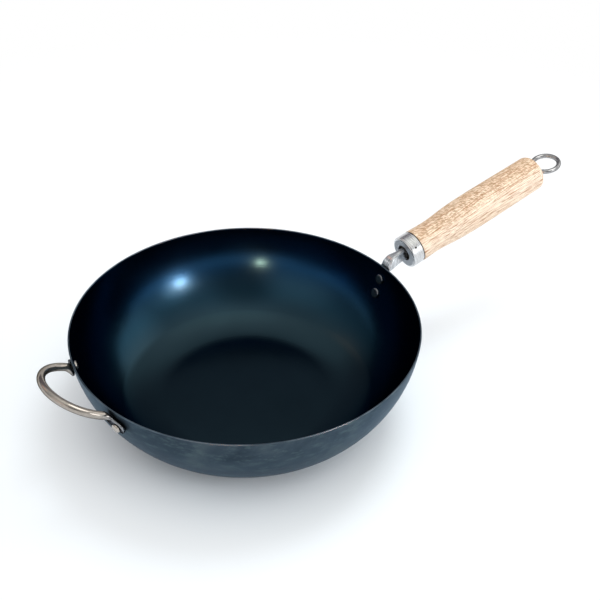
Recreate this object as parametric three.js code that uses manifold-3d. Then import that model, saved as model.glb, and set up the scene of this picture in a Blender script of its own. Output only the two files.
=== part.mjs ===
// A deep stir-fry pan: a spun steel bowl with a flat base, a riveted bracket that carries a turned wooden
// grip, and a bent tube loop on the far side as a helper handle.
// Millimetres, +Z up. The origin is the centre of the base, on the surface that the pan stands on.
// The grip points along +X.
import * as THREE from "three";
import { mergeVertices, toCreasedNormals } from "three/addons/utils/BufferGeometryUtils.js";
import Module from "manifold-3d";

const wasm = await Module();
wasm.setup();

// Fits
const SEAT_GAP = 0.3; // between two pieces that touch
const HOLE_GAP = 0.3; // round a shank in its hole, on the radius

// Bowl: a flat base, a knee arc and a wall arc, all measured on the outside
const RIM_RADIUS = 140;
const PAN_HEIGHT = 77.5;
const BASE_RADIUS = 77;
const KNEE_RADIUS = 44;
const RIM_ANGLE = 85.5; // slope of the wall at the rim, in degrees
const PAN_SHEET = 1.2;

// Where the handle starts: the centre of the ferrule's front face
const FERRULE_STANDOFF = 22; // out from the rim
const FERRULE_RISE = 5.4; // up from the rim
const HANDLE_TILT = 13; // degrees above level

// Bracket: a strap on the wall that bends over the rim and folds into a channel
const BRACKET_SHEET = 1.8;
const FOOT_WIDTH = 21;
const NECK_WIDTH = 12.6; // where the strap passes the rim
const STRAP_LEAVE = 7.5; // from the rim down to where the strap leaves the wall
const STRAP_LEAN = 13; // degrees that it leans away from the wall there
const NECK_BEND = 9; // outer radius of the bend above the rim
const GUSSET_RADIUS = 5; // where the channel's lower edge runs out into the strap
const GUSSET_DROP = 1.5; // how much higher the lower edge is at the strap than at the ferrule
const CHANNEL_WIDTH = 5.6;
const CHANNEL_HEIGHT = 10.4;
const CHANNEL_STRAIGHT = 2; // full-depth stretch in front of the ferrule
const TANG_LENGTH = 36; // inside the ferrule and the grip

// Bracket rivets, one above the other
const RIVET_DROP = 13; // from the rim to the upper rivet, along the wall
const RIVET_PITCH = 13.8;
const RIVET_SHANK_RADIUS = 2.5;
const RIVET_HEAD_RADIUS = 4.5;
const RIVET_HEAD_HEIGHT = 1.5;

// Ferrule
const FERRULE_RADIUS = 14.5;
const FERRULE_LENGTH = 11.5;
const FERRULE_WALL = 1.2;
const FERRULE_FACE = 1.4;
const FERRULE_ROUND = 2;
const FERRULE_HOLE_RADIUS = 7.2; // round the channel, in the front face
const STAKE_RADIUS = 1.1; // punch mark that locks the ferrule to the wood
const STAKE_DEPTH = 0.6;
const STAKE_BEARING = 49; // degrees round the handle from straight up, towards -Y

// Grip: radii along its length, measured from the front of the ferrule
const GRIP_LENGTH = 154.6;
const GRIP_FRONT_RADIUS = 14.6;
const WAIST_RADIUS = 14.2;
const WAIST_PLACE = 33;
const BELLY_RADIUS = 16.4;
const BELLY_PLACE = 70;
const GRIP_END_RADIUS = 16;
const GRIP_END_ROUND = 5.5;

// Ring bolt: a rod with its end bent into an eye
const ROD_RADIUS = 2;
const EYE_RADIUS = 12; // to the middle of the wire
const EYE_NECK_BEND = 4; // where the rod turns off into the eye, to the middle of the wire
const EYE_STANDOFF = 1; // from the grip's end to the eye's wire
const EYE_TURN = 320; // degrees of wire in the eye
const NUT_LENGTH = 8;
const NUT_WALL = 0.9;
const NUT_HEIGHT = 10.4;

// Helper handle: a tube bent to a half circle, its ends pressed flat on the wall
const TUBE_RADIUS = 3.1;
const LOOP_RADIUS = 32.2; // to the middle of the tube
const LOOP_TILT = 30; // degrees above level
const LOOP_REACH = 29; // from the rim out to the middle of the tube
const LOOP_RISE = 12; // from the rim up to the middle of the tube
const TAB_THICKNESS = 2.4;
const TAB_WIDTH = 10.4;
const TAB_BEARING = 16.7; // degrees from the loop's middle to each rivet
const TAB_DROP = 12.4; // from the rim down to the rivets, along the wall
const TAB_DIP = 12; // degrees that a tab slopes down, away from the loop
const TAB_ROOT = 3.6; // from the rivet to where the tab starts to bend out
const TAB_TIP = 6.6; // from the rivet to the tab's end
const LOOP_LEG_BEND = 4.5; // how far the bend between the loop and a tab reaches along each
const PRESS_LENGTH = 0.65; // share of that bend over which the round tube goes flat
const HELPER_SHANK_RADIUS = 2;
const HELPER_HEAD_RADIUS = 3.6;
const HELPER_HEAD_HEIGHT = 1.9;

// Facets
const BOWL_SEGMENTS = 80;
const GRIP_SEGMENTS = 36;
const HOLE_SEGMENTS = 16;
const RIVET_SEGMENTS = 16;
const WIRE_SIDES = 10;
const TUBE_SIDES = 14;
const KNEE_STEPS = 6;
const WALL_STEPS = 8;
const DOME_STEPS = 4;
const ROUND_STEPS = 6;
const GRIP_STEPS = 18;
const EYE_STEPS = 40;
const LOOP_STEPS = 14;
const BEND_STEPS = 8;

const rad = THREE.MathUtils.degToRad;
const X_AXIS = new THREE.Vector3(1, 0, 0);
const Y_AXIS = new THREE.Vector3(0, 1, 0);
const Z_AXIS = new THREE.Vector3(0, 0, 1);

// Bases for prisms: the outline's two axes, then the direction it is extruded in
const SEEN_FROM_SIDE = new THREE.Matrix4().makeBasis(X_AXIS, Z_AXIS, Y_AXIS.clone().negate());
const SEEN_FROM_END = new THREE.Matrix4().makeBasis(Y_AXIS, Z_AXIS, X_AXIS);
const SEEN_FROM_TOP = new THREE.Matrix4();

// Solids

function solidOf(geometry) {
  const bare = geometry.clone();
  bare.deleteAttribute("normal");
  bare.deleteAttribute("uv");
  const merged = mergeVertices(bare, 1e-4);
  const mesh = new wasm.Mesh({
    numProp: 3,
    vertProperties: merged.attributes.position.array,
    triVerts: new Uint32Array(merged.index.array),
  });
  return new wasm.Manifold(mesh);
}

function geometryOf(solid) {
  const mesh = solid.getMesh();
  const geometry = new THREE.BufferGeometry();
  geometry.setAttribute("position", new THREE.BufferAttribute(mesh.vertProperties, 3));
  geometry.setIndex(new THREE.BufferAttribute(mesh.triVerts, 1));
  return toCreasedNormals(geometry, rad(30));
}

// A closed outline through corners [x, y, radius], each rounded by its own radius.
function roundedShape(corners) {
  const shape = new THREE.Shape();
  const count = corners.length;
  const points = corners.map(([x, y]) => new THREE.Vector2(x, y));
  corners.forEach(([, , radius = 0], i) => {
    const before = points[(i + count - 1) % count].clone().sub(points[i]).normalize();
    const after = points[(i + 1) % count].clone().sub(points[i]).normalize();
    const half = Math.acos(before.dot(after)) / 2;
    const reach = radius / Math.tan(half);
    const start = points[i].clone().addScaledVector(before, reach);
    if (i === 0) shape.moveTo(start.x, start.y);
    else shape.lineTo(start.x, start.y);
    if (radius === 0) return;
    const end = points[i].clone().addScaledVector(after, reach);
    const inwards = before.clone().add(after).normalize();
    const centre = points[i].clone().addScaledVector(inwards, radius / Math.sin(half));
    const from = start.sub(centre).angle();
    const to = end.sub(centre).angle();
    shape.absarc(centre.x, centre.y, radius, from, to, before.cross(after) > 0);
  });
  shape.closePath();
  return shape;
}

// A prism of an outline, centred on it, along the third axis of a basis.
function prism(shape, depth, basis) {
  const geometry = new THREE.ExtrudeGeometry(shape, { depth, bevelEnabled: false, curveSegments: 8 });
  geometry.translate(0, 0, -depth / 2);
  return geometry.applyMatrix4(basis);
}

// A turned solid about +Z. The profile holds [radius, height] pairs, outside going up.
function turned(profile, segments) {
  const points = profile.map(([radius, height]) => new THREE.Vector2(radius, height));
  return new THREE.LatheGeometry(points, segments).rotateX(Math.PI / 2);
}

// A turned solid laid along +X.
function turnedAlongX(profile, segments) {
  return turned(profile, segments).rotateY(Math.PI / 2);
}

// Points [a, b] of an arc from one angle to another, both ends included.
function arcPoints(centre, radius, from, to, steps) {
  return Array.from({ length: steps + 1 }, (_, i) => {
    const angle = from + ((to - from) * i) / steps;
    return [centre[0] + radius * Math.cos(angle), centre[1] + radius * Math.sin(angle)];
  });
}

// A solid through rings of points that all have the same number of corners.
function loft(rings) {
  const sides = rings[0].length;
  const positions = rings.flat().flatMap((p) => [p.x, p.y, p.z]);
  const index = [];
  for (let k = 0; k + 1 < rings.length; k++) {
    for (let i = 0; i < sides; i++) {
      const a = k * sides + i;
      const b = k * sides + ((i + 1) % sides);
      index.push(a, b, b + sides, a, b + sides, a + sides);
    }
  }
  const last = (rings.length - 1) * sides;
  for (let i = 1; i + 1 < sides; i++) {
    index.push(0, i + 1, i);
    index.push(last, last + i, last + i + 1);
  }
  const geometry = new THREE.BufferGeometry();
  geometry.setAttribute("position", new THREE.Float32BufferAttribute(positions, 3));
  geometry.setIndex(index);
  return geometry;
}

// One ring for a loft: an oval round a centre, half as wide and half as thick as given.
// Above 2, the power squares the oval up towards a flat bar.
function ovalRing(centre, wide, thick, halfWidth, halfThickness, power, sides) {
  return Array.from({ length: sides }, (_, i) => {
    const angle = (2 * Math.PI * i) / sides;
    const c = Math.cos(angle);
    const s = Math.sin(angle);
    const along = halfWidth * Math.sign(c) * Math.abs(c) ** (2 / power);
    const up = halfThickness * Math.sign(s) * Math.abs(s) ** (2 / power);
    return centre.clone().addScaledVector(wide, along).addScaledVector(thick, up);
  });
}

// Bowl

const rimAngle = rad(RIM_ANGLE);
const rimRun = RIM_RADIUS - BASE_RADIUS;
const kneeRise = PAN_HEIGHT - KNEE_RADIUS;
// The wall arc is tangent to the knee arc and ends at the rim with the given slope.
const wallRadius =
  (rimRun ** 2 + kneeRise ** 2 - KNEE_RADIUS ** 2) /
  (2 * (rimRun * Math.sin(rimAngle) - kneeRise * Math.cos(rimAngle) - KNEE_RADIUS));
const wallCentre = [
  RIM_RADIUS - wallRadius * Math.sin(rimAngle),
  PAN_HEIGHT + wallRadius * Math.cos(rimAngle),
];
const kneeCentre = [BASE_RADIUS, KNEE_RADIUS];
const kneeAngle = Math.atan2(kneeCentre[0] - wallCentre[0], wallCentre[1] - kneeCentre[1]);

// The wall's profile from slope to slope, moved outwards by an offset, from the bottom up.
function wallArc(fromSlope, toSlope, offset, steps) {
  const quarter = Math.PI / 2;
  return arcPoints(wallCentre, wallRadius + offset, fromSlope - quarter, toSlope - quarter, steps);
}

function bowlSkin(offset) {
  const quarter = Math.PI / 2;
  const knee = arcPoints(kneeCentre, KNEE_RADIUS + offset, -quarter, kneeAngle - quarter, KNEE_STEPS);
  const wall = wallArc(kneeAngle, rimAngle, offset, WALL_STEPS);
  return [[0, -offset], ...knee, ...wall.slice(1)];
}

// A place on the outside of the wall, a distance below the rim and at a bearing from +X.
function wallPlace(drop, bearing) {
  const slope = rimAngle - drop / wallRadius;
  const [radius, height] = wallArc(slope, slope, 0, 1)[0];
  const outwards = new THREE.Vector3(Math.cos(bearing), Math.sin(bearing), 0);
  const point = outwards.clone().multiplyScalar(radius).addScaledVector(Z_AXIS, height);
  const normal = outwards.clone().multiplyScalar(Math.sin(slope)).addScaledVector(Z_AXIS, -Math.cos(slope));
  const level = new THREE.Vector3(-Math.sin(bearing), Math.cos(bearing), 0);
  const up = normal.clone().cross(level);
  return { point, normal, level, up };
}

// A pin through the wall at a place: its axis is the wall's normal.
function wallHole(place, radius) {
  const geometry = new THREE.CylinderGeometry(radius, radius, PAN_HEIGHT / 2, HOLE_SEGMENTS);
  geometry.applyQuaternion(new THREE.Quaternion().setFromUnitVectors(Y_AXIS, place.normal));
  geometry.translate(place.point.x, place.point.y, place.point.z);
  return solidOf(geometry);
}

const upperRivet = wallPlace(RIVET_DROP, 0);
const lowerRivet = wallPlace(RIVET_DROP + RIVET_PITCH, 0);
const helperTabs = [-1, 1].map((side) => ({ side, place: wallPlace(TAB_DROP, side * rad(TAB_BEARING)) }));
const helperTurn = new THREE.Matrix4().makeRotationZ(Math.PI);

function panBody() {
  const profile = [...bowlSkin(0), ...bowlSkin(-PAN_SHEET).reverse()];
  let bowl = solidOf(turned(profile, BOWL_SEGMENTS));
  for (const place of [upperRivet, lowerRivet]) {
    bowl = bowl.subtract(wallHole(place, RIVET_SHANK_RADIUS + HOLE_GAP));
  }
  for (const { place } of helperTabs) {
    const hole = geometryOf(wallHole(place, HELPER_SHANK_RADIUS + HOLE_GAP)).applyMatrix4(helperTurn);
    bowl = bowl.subtract(solidOf(hole));
  }
  return geometryOf(bowl);
}

// Rivets

// A low dome, from its rim up to its top on the axis, as [radius, height] pairs.
function domeProfile(radius, height) {
  const ball = (radius ** 2 + height ** 2) / (2 * height);
  const edge = Math.asin(radius / ball);
  return arcPoints([0, height - ball], ball, Math.PI / 2 - edge, Math.PI / 2, DOME_STEPS);
}

// A rivet along +Z: a dome below, a shank through the stack and a dome above it.
function rivet(shankRadius, headRadius, headHeight, stack) {
  const dome = domeProfile(headRadius, headHeight);
  const below = dome.map(([radius, height]) => [radius, -height]).reverse();
  const above = dome.map(([radius, height]) => [radius, stack + height]);
  const profile = [...below, [shankRadius, 0], [shankRadius, stack], ...above];
  profile[0][0] = 0;
  profile[profile.length - 1][0] = 0;
  return turned(profile, RIVET_SEGMENTS);
}

// A rivet's stack runs from just inside the wall to just outside what it holds.
function rivetStack(thickness) {
  return SEAT_GAP + PAN_SHEET + SEAT_GAP + thickness + SEAT_GAP;
}

function placeRivet(mesh, place) {
  mesh.position.copy(place.point).addScaledVector(place.normal, -(PAN_SHEET + SEAT_GAP));
  mesh.quaternion.setFromUnitVectors(Z_AXIS, place.normal);
}

// Bracket

const handleMatrix = new THREE.Matrix4()
  .makeTranslation(RIM_RADIUS + FERRULE_STANDOFF, 0, PAN_HEIGHT + FERRULE_RISE)
  .multiply(new THREE.Matrix4().makeRotationY(-rad(HANDLE_TILT)));
const panToHandle = handleMatrix.clone().invert();

// A point of the pan's upright middle plane, in the handle's own frame.
function inHandle(x, z) {
  const point = new THREE.Vector3(x, 0, z).applyMatrix4(panToHandle);
  return new THREE.Vector2(point.x, point.z);
}

// A point of the wall's profile, a distance below the rim and at an offset outwards, in the handle's frame.
function wallInHandle(drop, offset) {
  const slope = rimAngle - drop / wallRadius;
  return inHandle(...wallArc(slope, slope, offset, 1)[0]);
}

// The strap's straight line from the wall up past the rim, at an offset outwards, and where it meets a level.
function strapLine(offset) {
  const start = wallInHandle(STRAP_LEAVE, offset);
  const slope = rimAngle - STRAP_LEAVE / wallRadius - rad(STRAP_LEAN) - rad(HANDLE_TILT);
  const along = new THREE.Vector2(Math.cos(slope), Math.sin(slope));
  const atHeight = (height) => start.clone().addScaledVector(along, (height - start.y) / along.y);
  return { start, atHeight };
}

// The foot is a curved plate on the wall, cut to an outline that is round at the bottom.
function bracketFoot() {
  const foot = FOOT_WIDTH / 2;
  const neck = NECK_WIDTH / 2;
  const lowest = rimAngle - (RIVET_DROP + RIVET_PITCH + FOOT_WIDTH) / wallRadius;
  const highest = rimAngle - STRAP_LEAVE / wallRadius;
  const inner = wallArc(lowest, highest, SEAT_GAP, WALL_STEPS);
  const outer = wallArc(lowest, highest, SEAT_GAP + BRACKET_SHEET, WALL_STEPS);
  const plate = turned([...outer, ...inner.reverse(), outer[0]], BOWL_SEGMENTS);
  const outline = new THREE.Shape();
  const low = lowerRivet.point.z;
  const high = upperRivet.point.z;
  const top = wallPlace(STRAP_LEAVE, 0).point.z;
  const shoulder = (top + high) / 2;
  outline.moveTo(neck, PAN_HEIGHT);
  outline.lineTo(-neck, PAN_HEIGHT);
  outline.lineTo(-neck, top);
  outline.bezierCurveTo(-neck, shoulder, -foot, shoulder, -foot, high);
  outline.lineTo(-foot, low);
  outline.absarc(0, low, foot, Math.PI, 2 * Math.PI, false);
  outline.lineTo(foot, high);
  outline.bezierCurveTo(foot, shoulder, neck, shoulder, neck, top);
  const cutter = prism(outline, RIM_RADIUS, SEEN_FROM_END).translate(RIM_RADIUS, 0, 0);
  return solidOf(plate).intersect(solidOf(cutter));
}

// Half the neck's width along the handle, drawn in from the strap to the channel.
function neckPlan(inset) {
  const neck = NECK_WIDTH / 2 - inset;
  const channel = CHANNEL_WIDTH / 2 - inset;
  const strap = strapLine(SEAT_GAP + BRACKET_SHEET).start.x;
  const middle = (strap - CHANNEL_STRAIGHT) / 2;
  const back = strap - NECK_WIDTH;
  const end = TANG_LENGTH + inset;
  const plan = new THREE.Shape();
  plan.moveTo(back, -neck);
  plan.lineTo(strap, -neck);
  plan.bezierCurveTo(middle, -neck, middle, -channel, -CHANNEL_STRAIGHT, -channel);
  plan.lineTo(end, -channel);
  plan.lineTo(end, channel);
  plan.lineTo(-CHANNEL_STRAIGHT, channel);
  plan.bezierCurveTo(middle, channel, middle, neck, strap, neck);
  plan.lineTo(back, neck);
  plan.closePath();
  return plan;
}

// The neck bends over the rim. Its edges fold down on the way to the ferrule, so it ends as a channel.
function bracketNeck() {
  const top = CHANNEL_HEIGHT / 2;
  const inside = strapLine(SEAT_GAP);
  const outside = strapLine(SEAT_GAP + BRACKET_SHEET);
  const rootDrop = STRAP_LEAVE + GUSSET_RADIUS;
  const lowerEdge = outside.atHeight(GUSSET_DROP - top);
  const side = roundedShape([
    [...inside.start],
    [...wallInHandle(rootDrop, SEAT_GAP)],
    [...wallInHandle(rootDrop, SEAT_GAP + BRACKET_SHEET)],
    [...outside.start],
    [...lowerEdge, GUSSET_RADIUS / 2],
    [0, -top],
    [TANG_LENGTH, -top],
    [TANG_LENGTH, top],
    [...inside.atHeight(top), NECK_BEND],
  ]);
  const core = roundedShape([
    [...lowerEdge],
    [lowerEdge.x, -2 * CHANNEL_HEIGHT],
    [TANG_LENGTH + BRACKET_SHEET, -2 * CHANNEL_HEIGHT],
    [TANG_LENGTH + BRACKET_SHEET, top - BRACKET_SHEET],
    [...outside.atHeight(top - BRACKET_SHEET), NECK_BEND - BRACKET_SHEET],
  ]);
  const deep = 8 * CHANNEL_HEIGHT;
  const envelope = solidOf(prism(side, 2 * NECK_WIDTH, SEEN_FROM_SIDE)).intersect(
    solidOf(prism(neckPlan(0), deep, SEEN_FROM_TOP)),
  );
  const hollow = solidOf(prism(core, 2 * NECK_WIDTH, SEEN_FROM_SIDE)).intersect(
    solidOf(prism(neckPlan(BRACKET_SHEET), deep, SEEN_FROM_TOP)),
  );
  return solidOf(geometryOf(envelope.subtract(hollow)).applyMatrix4(handleMatrix));
}

function handleBracket() {
  let bracket = bracketFoot().add(bracketNeck());
  for (const place of [upperRivet, lowerRivet]) {
    bracket = bracket.subtract(wallHole(place, RIVET_SHANK_RADIUS + HOLE_GAP));
  }
  return geometryOf(bracket);
}

// Handle, along +X from the ferrule's front face

const boreRadius = ROD_RADIUS + HOLE_GAP;
const nutWidth = 2 * (boreRadius + NUT_WALL);
const nutFront = TANG_LENGTH + SEAT_GAP;
const pocketWidth = nutWidth + 2 * SEAT_GAP;
const pocketHeight = Math.max(CHANNEL_HEIGHT, NUT_HEIGHT) + 2 * SEAT_GAP;
const pocketDepth = nutFront + NUT_LENGTH + SEAT_GAP;

function ferrule() {
  const bore = FERRULE_RADIUS - FERRULE_WALL;
  const corner = [FERRULE_RADIUS - FERRULE_ROUND, FERRULE_ROUND];
  const profile = [
    [FERRULE_HOLE_RADIUS, 0],
    ...arcPoints(corner, FERRULE_ROUND, -Math.PI / 2, 0, ROUND_STEPS),
    [FERRULE_RADIUS, FERRULE_LENGTH],
    [bore, FERRULE_LENGTH],
    [bore, FERRULE_FACE],
    [FERRULE_HOLE_RADIUS, FERRULE_FACE],
    [FERRULE_HOLE_RADIUS, 0],
  ];
  const cap = solidOf(turnedAlongX(profile, GRIP_SEGMENTS));
  const stake = new THREE.SphereGeometry(STAKE_RADIUS, 10, 8);
  const ride = FERRULE_RADIUS + STAKE_RADIUS - STAKE_DEPTH;
  const bearing = rad(STAKE_BEARING);
  stake.translate(FERRULE_LENGTH / 2, -ride * Math.sin(bearing), ride * Math.cos(bearing));
  return geometryOf(cap.subtract(solidOf(stake)));
}

function grip() {
  const spigot = FERRULE_RADIUS - FERRULE_WALL - SEAT_GAP;
  const shoulder = FERRULE_LENGTH + SEAT_GAP;
  const roundStart = GRIP_LENGTH - GRIP_END_ROUND;
  const side = new THREE.SplineCurve([
    new THREE.Vector2(GRIP_FRONT_RADIUS, shoulder),
    new THREE.Vector2(WAIST_RADIUS, WAIST_PLACE),
    new THREE.Vector2(BELLY_RADIUS, BELLY_PLACE),
    new THREE.Vector2(GRIP_END_RADIUS, roundStart),
  ]);
  const endCorner = [GRIP_END_RADIUS - GRIP_END_ROUND, roundStart];
  const profile = [
    [0, FERRULE_FACE + SEAT_GAP],
    [spigot, FERRULE_FACE + SEAT_GAP],
    [spigot, shoulder],
    ...side.getPoints(GRIP_STEPS).map((p) => [p.x, p.y]),
    ...arcPoints(endCorner, GRIP_END_ROUND, 0, Math.PI / 2, ROUND_STEPS).slice(1),
    [0, GRIP_LENGTH],
  ];
  const wood = solidOf(turnedAlongX(profile, GRIP_SEGMENTS));
  const pocket = new THREE.BoxGeometry(2 * pocketDepth, pocketWidth, pocketHeight);
  const bore = new THREE.CylinderGeometry(boreRadius, boreRadius, 2 * GRIP_LENGTH, HOLE_SEGMENTS);
  bore.rotateZ(Math.PI / 2).translate(pocketDepth + GRIP_LENGTH - NUT_LENGTH, 0, 0);
  return geometryOf(wood.subtract(solidOf(pocket)).subtract(solidOf(bore)));
}

function tangNut() {
  const block = new THREE.BoxGeometry(NUT_LENGTH, nutWidth, NUT_HEIGHT);
  const hole = new THREE.CylinderGeometry(boreRadius, boreRadius, 2 * NUT_LENGTH, HOLE_SEGMENTS);
  hole.rotateZ(Math.PI / 2);
  const nut = solidOf(block).subtract(solidOf(hole));
  return geometryOf(nut).translate(nutFront + NUT_LENGTH / 2, 0, 0);
}

// The rod runs from the nut to the grip's end, turns aside and bends round into an open eye that is level
// across the handle.
function ringBolt() {
  const eyeCentre = GRIP_LENGTH + EYE_STANDOFF + ROD_RADIUS + EYE_RADIUS;
  const between = EYE_RADIUS + EYE_NECK_BEND;
  const bendPlace = eyeCentre - Math.sqrt(between ** 2 - EYE_NECK_BEND ** 2);
  const joinAngle = Math.asin(EYE_NECK_BEND / between);
  const quarter = Math.PI / 2;
  const bend = arcPoints([bendPlace, EYE_NECK_BEND], EYE_NECK_BEND, -quarter, -joinAngle, ROUND_STEPS);
  const eyeStart = Math.PI - joinAngle;
  const eye = arcPoints([eyeCentre, 0], EYE_RADIUS, eyeStart, eyeStart - rad(EYE_TURN), EYE_STEPS);
  const line = [[nutFront + SEAT_GAP, 0], ...bend, ...eye.slice(1)];
  const points = line.map(([x, y]) => new THREE.Vector3(x, y, 0));
  const rings = points.map((point, i) => {
    const before = points[Math.max(i - 1, 0)];
    const after = points[Math.min(i + 1, points.length - 1)];
    const along = after.clone().sub(before).normalize();
    const across = along.clone().cross(Z_AXIS);
    return ovalRing(point, across, Z_AXIS.clone().negate(), ROD_RADIUS, ROD_RADIUS, 2, WIRE_SIDES);
  });
  return loft(rings);
}

// Helper handle, in a frame where the loop points along +X

// Half of the loop, from the middle of the tube outwards to one tab: each stop has a point and how far the
// tube is pressed flat there, from 0 to 1.
function helperHalf({ side, place }) {
  const tilt = rad(LOOP_TILT);
  const outwards = new THREE.Vector3(Math.cos(tilt), 0, Math.sin(tilt));
  const apex = new THREE.Vector3(RIM_RADIUS + LOOP_REACH, 0, PAN_HEIGHT + LOOP_RISE);
  const centre = apex.clone().addScaledVector(outwards, -LOOP_RADIUS);
  const arc = arcPoints([0, 0], LOOP_RADIUS, Math.PI / 2, 0, LOOP_STEPS).map(([across, out]) =>
    centre.clone().addScaledVector(outwards, out).addScaledVector(Y_AXIS, side * across),
  );
  const dip = rad(TAB_DIP);
  const tabLine = place.level
    .clone()
    .multiplyScalar(side * Math.cos(dip))
    .addScaledVector(place.up, -Math.sin(dip));
  const tabCentre = place.point.clone().addScaledVector(place.normal, SEAT_GAP + TAB_THICKNESS / 2);
  const tabAt = (distance) => tabCentre.clone().addScaledVector(tabLine, distance);
  const leg = arc[arc.length - 1];
  const bend = new THREE.CubicBezierCurve3(
    leg,
    leg.clone().addScaledVector(outwards, -LOOP_LEG_BEND),
    tabAt(-TAB_ROOT - LOOP_LEG_BEND),
    tabAt(-TAB_ROOT),
  );
  const stops = arc.map((point) => ({ point, flat: 0, width: 1 }));
  bend.getPoints(BEND_STEPS).slice(1).forEach((point, i) => {
    stops.push({ point, flat: THREE.MathUtils.smoothstep(i + 1, 0, PRESS_LENGTH * BEND_STEPS), width: 1 });
  });
  const tipStart = TAB_TIP - TAB_WIDTH / 2;
  stops.push({ point: tabAt(tipStart), flat: 1, width: 1 });
  for (const turn of [30, 55, 75]) {
    const point = tabAt(tipStart + (TAB_WIDTH / 2) * Math.sin(rad(turn)));
    stops.push({ point, flat: 1, width: Math.cos(rad(turn)) });
  }
  return stops.map((stop) => ({ ...stop, normal: place.normal }));
}

function helperHandle() {
  const [near, far] = helperTabs.map(helperHalf);
  const stops = [...near.reverse(), ...far.slice(1)];
  const rings = stops.map(({ point, flat, width, normal }, i) => {
    const before = stops[Math.max(i - 1, 0)].point;
    const after = stops[Math.min(i + 1, stops.length - 1)].point;
    const along = after.clone().sub(before).normalize();
    const wide = along.clone().cross(normal).normalize();
    const thick = along.clone().cross(wide);
    const halfWidth = THREE.MathUtils.lerp(TUBE_RADIUS, TAB_WIDTH / 2, flat) * width;
    const halfThickness = THREE.MathUtils.lerp(TUBE_RADIUS, TAB_THICKNESS / 2, flat);
    return ovalRing(point, wide, thick, halfWidth, halfThickness, 2 + 2 * flat, TUBE_SIDES);
  });
  let handle = solidOf(loft(rings));
  for (const { place } of helperTabs) {
    handle = handle.subtract(wallHole(place, HELPER_SHANK_RADIUS + HOLE_GAP));
  }
  return geometryOf(handle);
}

// Assembly

function piece(name, geometry, color, metalness, roughness) {
  const material = new THREE.MeshStandardMaterial({ color, metalness, roughness });
  const mesh = new THREE.Mesh(geometry, material);
  mesh.name = name;
  return mesh;
}

const pan = new THREE.Group();
pan.add(piece("pan_body", panBody(), 0x26333b, 0.85, 0.38));
pan.add(piece("handle_bracket", handleBracket(), 0xb4b7b8, 0.9, 0.35));
for (const [name, place] of [["handle_rivet_upper", upperRivet], ["handle_rivet_lower", lowerRivet]]) {
  const stack = rivetStack(BRACKET_SHEET);
  const shape = rivet(RIVET_SHANK_RADIUS, RIVET_HEAD_RADIUS, RIVET_HEAD_HEIGHT, stack);
  const mesh = piece(name, shape, 0x3a4248, 0.85, 0.4);
  placeRivet(mesh, place);
  pan.add(mesh);
}

const handle = new THREE.Group();
handle.applyMatrix4(handleMatrix);
handle.add(piece("ferrule", ferrule(), 0xd3d5d6, 0.95, 0.25));
handle.add(piece("grip", grip(), 0xd9b88a, 0, 0.6));
handle.add(piece("tang_nut", tangNut(), 0x9a9d9f, 0.9, 0.45));
handle.add(piece("ring_bolt", ringBolt(), 0xc4c5c3, 0.95, 0.25));
pan.add(handle);

const helper = new THREE.Group();
helper.applyMatrix4(helperTurn);
helper.add(piece("helper_handle", helperHandle(), 0xcbc7c0, 0.95, 0.2));
for (const { side, place } of helperTabs) {
  const stack = rivetStack(TAB_THICKNESS);
  const shape = rivet(HELPER_SHANK_RADIUS, HELPER_HEAD_RADIUS, HELPER_HEAD_HEIGHT, stack);
  const mesh = piece(side < 0 ? "helper_rivet_left" : "helper_rivet_right", shape, 0xb9b9b7, 0.95, 0.3);
  placeRivet(mesh, place);
  helper.add(mesh);
}
pan.add(helper);

export default pan;
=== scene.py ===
"""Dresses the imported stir-fry pan with finer pieces, materials, studio light and a camera."""

import math

import bmesh
import bpy
from mathutils import Matrix, Vector


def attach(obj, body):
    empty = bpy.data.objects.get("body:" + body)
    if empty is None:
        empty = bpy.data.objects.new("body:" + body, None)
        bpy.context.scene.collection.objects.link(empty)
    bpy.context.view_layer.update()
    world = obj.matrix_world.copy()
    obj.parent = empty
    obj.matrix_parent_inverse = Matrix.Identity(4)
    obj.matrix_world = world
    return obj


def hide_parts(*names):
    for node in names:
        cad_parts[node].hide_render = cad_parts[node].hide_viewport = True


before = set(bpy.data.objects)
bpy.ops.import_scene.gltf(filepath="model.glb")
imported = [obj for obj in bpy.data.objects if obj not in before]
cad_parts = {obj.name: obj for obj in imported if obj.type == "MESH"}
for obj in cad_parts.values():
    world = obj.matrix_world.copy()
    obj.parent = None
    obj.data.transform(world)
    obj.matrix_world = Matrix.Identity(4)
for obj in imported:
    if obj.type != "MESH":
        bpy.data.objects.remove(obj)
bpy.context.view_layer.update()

# Measures, in millimetres and radians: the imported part's own, with finer roundings added
MM = 0.001
SEAT_GAP = 0.3
HOLE_GAP = 0.3

RIM_RADIUS = 140
PAN_HEIGHT = 77.5
BASE_RADIUS = 77
KNEE_RADIUS = 44
KNEE_START = 68.8
KNEE_HANDLES = (18, 7)
RIM_ANGLE = math.radians(85.5)
PAN_SHEET = 1.2
RIM_ROUND = 0.5

FERRULE_STANDOFF = 22
FERRULE_RISE = 5.4
HANDLE_TILT = math.radians(13)

BRACKET_SHEET = 1.8
FOOT_WIDTH = 21
NECK_WIDTH = 12.6
STRAP_LEAVE = 7.5
STRAP_LEAN = math.radians(13)
NECK_BEND = 9
FOLD_RADIUS = 2.2
FOLD_MARGIN = 0.4
GUSSET_DROP = 1.5
CHANNEL_WIDTH = 5.6
CHANNEL_HEIGHT = 10.4
CHANNEL_STRAIGHT = 2
TANG_LENGTH = 36
BRACKET_EDGE = 0.35
BRACKET_EDGE_ANGLE = math.radians(50)

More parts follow.
